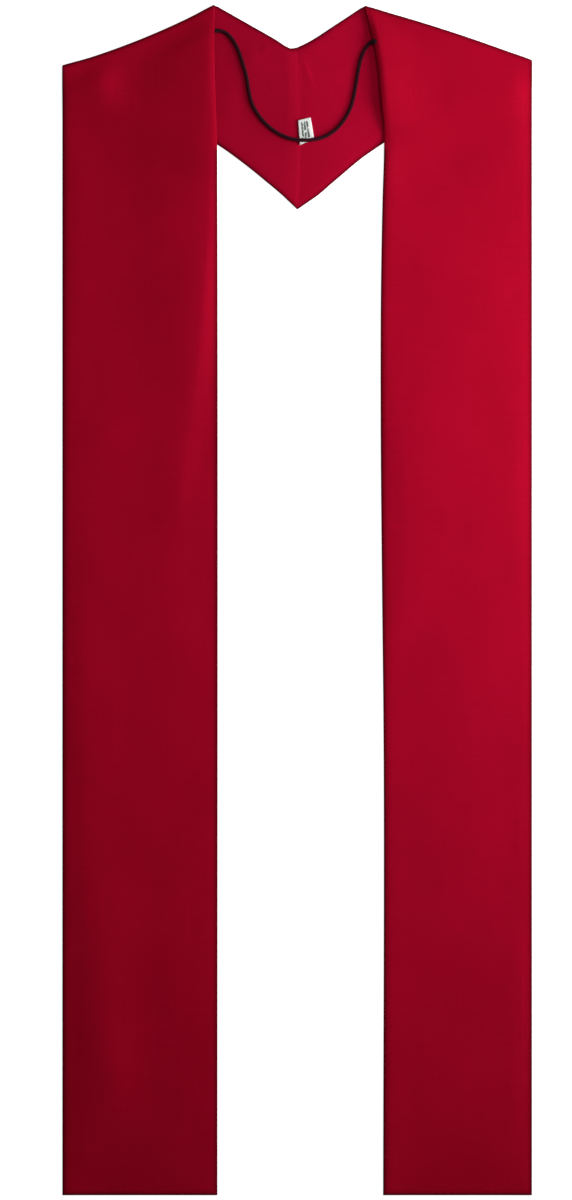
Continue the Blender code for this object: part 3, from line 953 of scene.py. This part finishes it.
def corner_past(half):
    """How far the turning line runs on past its neck end to meet the band's neck edge, and its direction."""
    neck_turn, outer_turn, _ = shoulder(half)
    direction = (neck_turn - outer_turn) / np.linalg.norm(neck_turn - outer_turn)
    peak, after = np.array(half.band_neck[0]), np.array(half.band_neck[1])
    edge = (after - peak) / np.linalg.norm(after - peak)
    gap = peak - neck_turn
    past = (gap[0] * edge[1] - gap[1] * edge[0]) / (direction[0] * edge[1] - direction[1] * edge[0])
    return past, direction


def turn_rows(half, cut, front_inset):
    """The turn at the shoulder: half circles round its line, from the front above to the band below.

    Below its outermost line the turn runs on past its neck end, by the whole way * (1 - cos(angle)), so
    that the front's neck edge and the band's meet in one point.
    """
    neck_turn, outer_turn, slope = shoulder(half)
    angles = np.linspace(math.pi / 2, -math.pi / 2, FOLD_STEPS + 1)[1:-1, None]
    past, direction = corner_past(half)
    neck_ends = neck_turn + past * np.where(angles < 0.0, 1.0 - np.cos(angles), 0.0) * direction
    plan, shares, from_neck, from_outer = across(neck_ends, np.repeat(outer_turn[None], len(angles), axis=0))
    plan[:, :, 1] += bow(half, shares)
    thickness, drawn_in, _ = wall(from_neck, from_outer, 0.0, 0.0, np.zeros_like(from_neck), half.phase)
    faces = []
    for radius in (FOLD_RADIUS + drawn_in, FOLD_RADIUS + thickness - drawn_in):
        rows = stacked(plan, FOLD_RADIUS + thickness + radius * np.sin(angles))
        rows[:, :, 1] += radius * np.cos(angles) / math.cos(slope)
        faces.append(rows)
    turn_cut = np.repeat(cut[-1:], len(angles), axis=0)
    turn_inset = (FOLD_RADIUS + thickness) * (1.0 - np.cos(angles))
    return (*faces, turn_cut, np.minimum(turn_inset, front_inset[-1:]))


def band_rows(half):
    """The band behind the neck, from the shoulder line to the centre-back seam, with its inside face up.

    Its rows join two edges at equal shares of their lengths, and the last ones stand close to the seam. The
    upper face is the wall, its swells and rises, less a drop * exp(-(distance from seam / width)^2) for
    each of the seam's slopes. Each point moves sideways by the seam's bow, which fades away from the seam.
    """
    neck_turn, outer_turn, _ = shoulder(half)
    past, direction = corner_past(half)
    neck_points = (EdgePoint(*(neck_turn + past * direction)),) + half.band_neck[1:]
    outer_points = (EdgePoint(*outer_turn),) + half.band_outer[1:]
    length = np.linalg.norm(np.diff(along(outer_points, np.linspace(0, 1, 60)), axis=0), axis=1).sum()
    places = np.linspace(0.0, BAND_ROWS_END, round(length / SHOULDER_SPACING))
    neck_ends = np.concatenate([along(neck_points, places), seam_ends(neck_points)])
    outer_ends = np.concatenate([along(outer_points, places), seam_ends(outer_points)])
    plan, shares, from_neck, from_outer = across(neck_ends, outer_ends)
    plan[: len(places), :, 1] += bow(half, shares[: len(places)]) * (1.0 - ease(places / BOW_FADE))[:, None]

    run = np.broadcast_to(np.linspace(0.0, length, len(plan))[:, None], from_neck.shape)
    thickness, drawn_in, surface = wall(from_neck, from_outer, BAND_DROP, BAND_DROP, run, half.phase + 1.0)
    covered = np.concatenate([places, np.ones(len(END_INSETS))])[:, None]
    shown = ease((covered - BAND_SHOWN) / BAND_SHOWN_FADE)
    inset = np.minimum(from_neck, from_outer)
    surface = surface * shown
    loose = swell_lift(half.band_swells, plan) * shown * ease(inset / SWELL_FADE)
    loose = loose + swell_lift(half.band_rises, plan)
    from_seam = plan[:, :, 0] - SEAM_GAP / 2
    slope = sum(part.drop * hump(from_seam, part.width) for part in half.seam_slopes)
    drawn_in = closed_end(drawn_in, from_seam, SEAM_ROLL, thickness)
    level = np.clip(plan[:, :, 1], SEAM_TIP, SEAM_NECK)
    bowed = through(column(SEAM_LINE, "y"), column(SEAM_LINE, "x"), level)
    cut = unfolded(half, plan)
    placed = plan.copy()
    placed[:, :, 0] += half.side * bowed * (1.0 - ease(from_seam / SEAM_BOW_REACH))
    inside = stacked(placed, np.maximum(thickness - drawn_in + surface + loose - slope, drawn_in))
    outside = stacked(placed, drawn_in)
    return inside, outside, cut, inset


def seam_ends(points):
    """The ends of the last rows, close to the centre seam, on the edge's last straight."""
    last, before = np.array(points[-1]), np.array(points[-2])
    step = (before - last) / (before[0] - last[0])
    return last + np.array(END_INSETS)[::-1, None] * step


# Plain weave of a fine yarn. The slubs, the streaks and the uneven dye are noise with these grains.
YARN_PITCH = 0.42
SLUB_GRAIN = (28.0, 1050.0)
STREAK_GRAIN = (900.0, 12.0)
DYE_GRAIN = (15.0, 9.0)
# Painted shade: the colour is darker by this share near each edge and fold, within this reach.
RIM_PAINTED_SHADE = 0.72
RIM_SHADE_REACH = 2.6


def cloth_material(name, dark, light, tint):
    """Red cloth in a plain weave of fine yarns, some of them thick, with a little uneven dye and surface.

    A warp and a weft yarn cross in each cell, |sin| across times |sin| along. Long thin noise across the
    strip is the slubs of the weft and, along it, the streaks of the warp. The colour goes from dark to
    light with 0.42 slubs + 0.2 streaks + 0.5 dye + 0.22 weave - 0.14, and an attribute darkens it near the
    edges and folds, which is painted shade.
    """
    made, tree, shader = new_material(
        name, Specular_IOR_Level=0.18, Specular_Tint=(*tint, 1.0), Sheen_Weight=0.1, Sheen_Roughness=0.45,
        Sheen_Tint=(*tint, 1.0),
    )
    place = add(tree, "ShaderNodeUVMap", uv_map="cut").outputs["UV"]
    parts = add(tree, "ShaderNodeSeparateXYZ", [(0, place)])
    warp = sums(tree, "SINE", sums(tree, "MULTIPLY", parts.outputs[0], math.pi / (YARN_PITCH * MM)))
    weft = sums(tree, "SINE", sums(tree, "MULTIPLY", parts.outputs[1], math.pi / (YARN_PITCH * MM)))
    weave = sums(tree, "ABSOLUTE", sums(tree, "MULTIPLY", warp, weft))
    slubs = noise(tree, stretched(tree, place, SLUB_GRAIN), detail=3.0, roughness=0.6)
    streaks = noise(tree, stretched(tree, place, STREAK_GRAIN))
    dye = noise(tree, stretched(tree, place, DYE_GRAIN), detail=3.0, roughness=0.55)
    share = sums(tree, "MULTIPLY_ADD", slubs, 0.42, sums(tree, "MULTIPLY", streaks, 0.2))
    share = sums(tree, "MULTIPLY_ADD", dye, 0.5, share)
    share = sums(tree, "MULTIPLY_ADD", weave, 0.22, sums(tree, "SUBTRACT", share, 0.14))
    # Painted shade: this attribute darkens the colour near each edge and fold.
    painted_rim_shade = add(tree, "ShaderNodeAttribute", attribute_name="painted_rim_shade").outputs["Fac"]
    shade = sums(tree, "MULTIPLY_ADD", painted_rim_shade, -RIM_PAINTED_SHADE, 1.0)
    dyed = blend(tree, share, dark, light, ends=(0.2, 0.8))
    colour = add(tree, "ShaderNodeVectorMath", [(0, dyed), ("Scale", shade)], operation="SCALE")
    tree.links.new(colour.outputs[0], shader.inputs["Base Color"])
    tree.links.new(sums(tree, "MULTIPLY_ADD", slubs, -0.12, 0.86), shader.inputs["Roughness"])
    relief = sums(tree, "MULTIPLY_ADD", weave, 0.7, sums(tree, "MULTIPLY_ADD", slubs, 0.8, streaks))
    roughen(tree, shader, relief, strength=0.5, depth=0.00012)
    return made


def make_half(half, materials):
    """One half, from its hem to the centre-back seam, as rings of outside and inside points.

    Each ring runs out along the outside face and back along the inside one. The cut, in metres, is its UV
    map. A ladder of faces closes each end. Returns the piece and its flat cut's width, length and area.
    """
    front = front_rows(half)
    parts = zip(front, turn_rows(half, *front[2:]), band_rows(half))
    inside, outside, cut, inset = (np.concatenate(part) for part in parts)
    cut = cut * MM
    rings = np.concatenate([outside, inside[:, -2:0:-1]], axis=1)
    rings[:, :, 0] *= half.side
    uv = np.concatenate([cut, cut[:, -2::-1]], axis=1)
    columns, places = inside.shape[1], rings.shape[1]
    ladder = [[i, i + 1, places - i - 1, (places - i) % places] for i in range(1, columns - 2)]
    ladder = [[0, 1, places - 1], *ladder, [columns - 2, columns - 1, columns]]
    ladder = [rung[::-1] for rung in ladder]
    piece = ring_mesh(half.name, rings, uv, ladder, materials)
    mesh = piece.data
    lining = np.tile(np.arange(places) >= columns - 1, len(rings) - 1).astype(np.int32)
    lining = np.concatenate([lining, np.zeros(2 * len(ladder), dtype=np.int32)])
    mesh.polygons.foreach_set("material_index", lining)
    # Painted shade, strongest at each edge and fold and fading with the distance from it.
    painted_rim_shade = hump(np.concatenate([inset, inset[:, -2:0:-1]], axis=1), RIM_SHADE_REACH)
    mesh.attributes.new("painted_rim_shade", "FLOAT", "POINT").data.foreach_set("value", painted_rim_shade.astype(np.float32).ravel())
    if half.side < 0:
        mesh.flip_normals()
    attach(piece, "root")
    a, b = cut[1:, 1:] - cut[:-1, :-1], cut[1:, :-1] - cut[:-1, 1:]
    area = np.abs(a[..., 0] * b[..., 1] - a[..., 1] * b[..., 0]).sum() / 2
    return piece, np.ptp(cut[..., 0]), np.ptp(cut[..., 1]), area


outer_cloth = cloth_material(
    "red_cloth", dark=(0.30, 0.0008, 0.0135), light=(0.44, 0.0016, 0.0215), tint=(1.0, 0.05, 0.09),
)
# Painted light: the halves' linings are one cloth, a darker copy on the left and a lighter one on the right,
# as the light falls off from right to left.
left_lining_shaded = cloth_material(
    "left_lining_shaded", dark=(0.298, 0.0011, 0.0166), light=(0.434, 0.0018, 0.0258), tint=(1.0, 0.05, 0.12),
)
right_lining_lit = cloth_material(
    "right_lining_lit", dark=(0.352, 0.0013, 0.0195), light=(0.514, 0.0022, 0.0305), tint=(1.0, 0.05, 0.12),
)
for half, node, lining_cloth in ((LEFT, "left_half", left_lining_shaded), (RIGHT, "right_half", right_lining_lit)):
    cloth, cut_width, cut_length, cut_area = make_half(half, [outer_cloth, lining_cloth])
    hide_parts(node)


# The label. A folded loop of white woven ribbon, caught by its lower end in the seam, tipped a little and
# held down by the cord. Its printed side is bare but for plain bars of grey-green.

class Corner(NamedTuple):
    """A corner of the label as it lies."""

    x: float
    y: float


LABEL_TOP_LEFT = Corner(x=0.9, y=438.2)
LABEL_TOP_RIGHT = Corner(x=12.3, y=440.9)
LABEL_BOTTOM_RIGHT = Corner(x=15.6, y=421.6)
LABEL_BOTTOM_LEFT = Corner(x=2.4, y=416.0)
RIBBON_THICKNESS = 0.28
LABEL_REST = 1.66
LABEL_LOOP = 0.32
LABEL_COLUMNS = 26
LABEL_ROWS = 40
LOOP_STEPS = 10
LABEL_LENGTH = 21.0
LABEL_WIDTH = 12.0
# The upper ply is a little crowned, and tipped up on the right. The ribbon thins at its woven edges.
LABEL_CROWN = 0.28
LABEL_TIP = 0.25
LABEL_TIP_START = 0.25
LABEL_TIP_LENGTH = 0.6
SELVEDGE_REACH = 0.12
SELVEDGE_THINNING = 0.85
# The ribbon's ribs, and its bars, which fill a share of their pitch. The print shows where its noise is
# high enough, inside a border that lies this far from the middle of the upper ply, both ways.
RIB_PITCH = 0.35
BAR_PITCH = 2.4
BAR_SHARE = 0.74
PRINT_GRAIN = (800.0, 330.0)
PRINT_START = 0.41
PRINT_MIDDLE = LABEL_LENGTH * 1.6
PRINT_HALF_WIDTH = 3.5
PRINT_HALF_LENGTH = 8.2
INK = (0.035, 0.075, 0.055)
INK_COVER = 0.92
RIBBON_GRAIN = (180.0, 420.0)
RIBBON_DARK = (0.86, 0.87, 0.85)
RIBBON_LIGHT = (0.96, 0.96, 0.94)


def label_rings():
    """The ribbon from its caught end up the lower ply, round the loop and back down the upper ply.

    A row's place up the label and its height come from one line: straight, half a circle of the loop's
    radius, straight. The four corners are blended. The upper ply rises by sin(across) * sin(up), and on the
    right by across^2 besides.
    """
    turn = np.linspace(-math.pi / 2, math.pi / 2, LOOP_STEPS + 1)
    rows_up = np.linspace(0.0, 1.0, LABEL_ROWS)
    rows_down = np.linspace(1.0, 0.0, LABEL_ROWS)
    up = np.concatenate([rows_up[:-1], np.ones(len(turn)), rows_down[1:]])
    past = np.concatenate([np.zeros(LABEL_ROWS - 1), np.cos(turn), np.zeros(LABEL_ROWS - 1)]) * LABEL_LOOP
    tall = np.concatenate([-np.ones(LABEL_ROWS - 1), np.sin(turn), np.ones(LABEL_ROWS - 1)]) * LABEL_LOOP
    side = np.linspace(0.0, 1.0, LABEL_COLUMNS)
    bottom_left, bottom_right = np.array(LABEL_BOTTOM_LEFT), np.array(LABEL_BOTTOM_RIGHT)
    top_left, top_right = np.array(LABEL_TOP_LEFT), np.array(LABEL_TOP_RIGHT)
    left = bottom_left + (top_left - bottom_left) * up[:, None]
    right = bottom_right + (top_right - bottom_right) * up[:, None]
    plan = left[:, None, :] + (right - left)[:, None, :] * side[None, :, None]
    upward = (top_left + top_right - bottom_left - bottom_right) / 2
    plan = plan + (upward / np.linalg.norm(upward)) * past[:, None, None]
    upper = ease(tall / LABEL_LOOP)[:, None]
    crown = LABEL_CROWN * np.sin(math.pi * side)[None, :] * np.sin(math.pi * up)[:, None]
    tipped = LABEL_TIP * side[None, :] ** 2 * ease((up[:, None] - LABEL_TIP_START) / LABEL_TIP_LENGTH)
    height = LABEL_REST + RIBBON_THICKNESS / 2 + LABEL_LOOP + tall[:, None] + upper * (crown + tipped)
    middle = np.concatenate([plan, height[:, :, None]], axis=2)
    run = np.concatenate([[0.0], np.cumsum(np.linalg.norm(np.diff(middle[:, 0], axis=0), axis=1))])
    along_row = np.gradient(middle, axis=0)
    along_side = np.gradient(middle, axis=1)
    normal = np.cross(along_side, along_row)
    normal /= np.linalg.norm(normal, axis=2, keepdims=True)
    edge = np.minimum(side, 1.0 - side)[None, :] * LABEL_WIDTH
    half_wall = RIBBON_THICKNESS / 2 * (1.0 - SELVEDGE_THINNING * hump(edge, SELVEDGE_REACH))[:, :, None]
    below, above = middle + normal * half_wall, middle - normal * half_wall
    grid_uv = np.stack(np.broadcast_arrays(side[None, :] * LABEL_WIDTH, run[:, None]), axis=-1)
    uv = np.concatenate([grid_uv, grid_uv[:, ::-1], grid_uv[:, :1]], axis=1) * MM
    return np.concatenate([above, below[:, ::-1]], axis=1), uv


def label_material():
    """White satin ribbon with a fine rib and, on its upper ply, uneven printed bars in a bare border."""
    made, tree, shader = new_material(
        "white_ribbon", Roughness=0.5, Specular_IOR_Level=0.35, Sheen_Weight=0.1, Sheen_Roughness=0.4,
    )
    place = add(tree, "ShaderNodeUVMap", uv_map="cut").outputs["UV"]
    parts = add(tree, "ShaderNodeSeparateXYZ", [(0, place)])
    across_mm = sums(tree, "MULTIPLY", parts.outputs[0], 1000.0)
    along_mm = sums(tree, "MULTIPLY", parts.outputs[1], 1000.0)
    in_pitch = sums(tree, "FRACT", sums(tree, "MULTIPLY", across_mm, 1.0 / BAR_PITCH))
    bars = sums(tree, "LESS_THAN", in_pitch, BAR_SHARE)
    printed = noise(tree, stretched(tree, place, PRINT_GRAIN), detail=1.0)
    uneven = sums(tree, "GREATER_THAN", printed, PRINT_START)
    inside_side = sums(tree, "COMPARE", across_mm, LABEL_WIDTH / 2, PRINT_HALF_WIDTH)
    inside_length = sums(tree, "COMPARE", along_mm, PRINT_MIDDLE, PRINT_HALF_LENGTH)
    marks = sums(tree, "MULTIPLY", sums(tree, "MULTIPLY", bars, uneven), inside_side)
    marks = sums(tree, "MULTIPLY", marks, inside_length)
    ribs = sums(tree, "SINE", sums(tree, "MULTIPLY", along_mm, 2.0 * math.pi / RIB_PITCH))
    shade = noise(tree, stretched(tree, place, RIBBON_GRAIN))
    satin = blend(tree, shade, RIBBON_DARK, RIBBON_LIGHT)
    inked = sums(tree, "MULTIPLY", marks, INK_COVER)
    mix = add(tree, "ShaderNodeMix", [(0, inked), (6, satin), (7, (*INK, 1.0))], data_type="RGBA")
    tree.links.new(mix.outputs[2], shader.inputs["Base Color"])
    roughen(tree, shader, sums(tree, "MULTIPLY_ADD", marks, 0.6, ribs), strength=0.25, depth=0.0001)
    return made


label_points, label_uv = label_rings()
label_sides = label_points.shape[1]
end_faces = [[i, i + 1, label_sides - 2 - i, label_sides - 1 - i][::-1] for i in range(LABEL_COLUMNS - 1)]
label = ring_mesh("label", label_points, label_uv, end_faces, [label_material()])
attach(label, "root")
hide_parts("sewn_label")


# The surface that the stole lies on, a plain white sheet, and the light: a lamp low on the right, a softer
# one overhead, and a little even light from all round.

# Sizes are in metres here. The sheet glows a little and the room is pale, but only as the camera sees them:
# the room lights the stole by the fill alone.
FLOOR_SIZE = 12.0
FLOOR_DROP = 0.0003
FLOOR_GLOW = 0.85
BACKDROP = 0.95
FILL = 0.184
WHITE = (1.0, 1.0, 1.0, 1.0)


class Lamp(NamedTuple):
    """A square lamp that points at the middle of the stole: its place and size in metres, and its watts."""

    name: str
    place: tuple
    size: float
    power: float


LAMPS = (
    Lamp(name="low_lamp", place=(0.92, 0.29, 0.365), size=0.6, power=15.6),
    Lamp(name="overhead_lamp", place=(0.39, 0.497, 1.0), size=0.5, power=2.94),
)

corner = FLOOR_SIZE / 2
floor_mesh = bpy.data.meshes.new("floor")
floor_corners = [(-corner, -corner), (corner, -corner), (corner, corner), (-corner, corner)]
floor_mesh.from_pydata([(*place, -FLOOR_DROP) for place in floor_corners], [], [(0, 1, 2, 3)])
floor = bpy.data.objects.new("floor", floor_mesh)
bpy.context.scene.collection.objects.link(floor)
white, white_tree, white_shader = new_material("white_sheet", Base_Color=(0.8, 0.8, 0.8, 1.0), Roughness=0.9)
path_kind = add(white_tree, "ShaderNodeLightPath")
glow = sums(white_tree, "MULTIPLY", path_kind.outputs["Is Camera Ray"], FLOOR_GLOW)
white_shader.inputs["Emission Color"].default_value = WHITE
white_tree.links.new(glow, white_shader.inputs["Emission Strength"])
floor_mesh.materials.append(white)

for row in LAMPS:
    lamp = bpy.data.objects.new(row.name, bpy.data.lights.new(row.name, "AREA"))
    lamp.data.shape = "SQUARE"
    lamp.data.size = row.size
    lamp.data.energy = row.power
    lamp.location = row.place
    lamp.rotation_euler = (-Vector(row.place)).to_track_quat("-Z", "Y").to_euler()
    bpy.context.scene.collection.objects.link(lamp)

world = bpy.data.worlds.new("room")
world.use_nodes = True
world_tree = world.node_tree
background = world_tree.nodes["Background"]
background.inputs["Color"].default_value = WHITE
seen = add(world_tree, "ShaderNodeLightPath")
strength = sums(world_tree, "MULTIPLY_ADD", seen.outputs["Is Camera Ray"], BACKDROP - FILL, FILL)
world_tree.links.new(strength, background.inputs["Strength"])
bpy.context.scene.world = world
